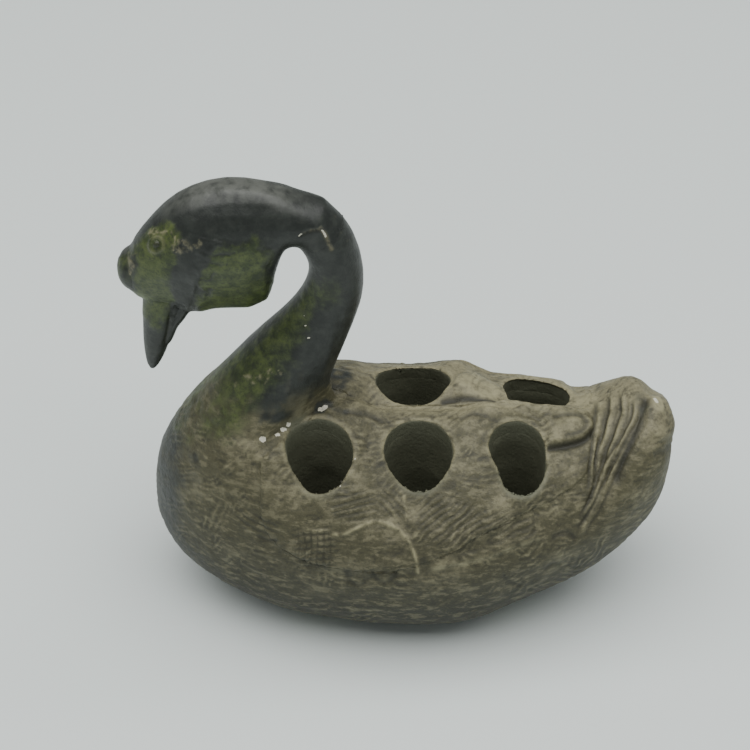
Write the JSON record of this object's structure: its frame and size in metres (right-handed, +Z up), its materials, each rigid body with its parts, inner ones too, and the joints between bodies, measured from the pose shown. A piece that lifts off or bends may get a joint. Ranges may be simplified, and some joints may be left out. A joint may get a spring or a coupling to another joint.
{
  "type": "flower frog",
  "caption": "Glazed clay water bird with a hooked neck and upturned tail; vertical wells in its back hold flower stems upright.",
  "frame": {"origin": "centre of the flat foot under the hull, on the table plane", "axes": "+Z up, -X the way the bird faces, +X towards the tail, -Y the bird's left side"},
  "size_m": [0.1028, 0.054, 0.0944],
  "materials": {
    "body_glaze": "satin",
    "wing_glaze": "satin",
    "tail_glaze": "satin",
    "neck_glaze": "satin",
    "head_glaze": "satin",
    "bill_glaze": "satin",
    "knob_glaze": "satin",
    "eye_glaze": "satin"
  },
  "bodies": {
    "root": {"body": "body_glaze", "left_wing": "wing_glaze", "right_wing": "wing_glaze", "tail": "tail_glaze", "neck": "neck_glaze", "head": "head_glaze", "upper_bill": "bill_glaze", "lower_bill": "bill_glaze", "bill_knob": "knob_glaze", "left_eye": "eye_glaze", "right_eye": "eye_glaze"}
  },
  "joints": []
}
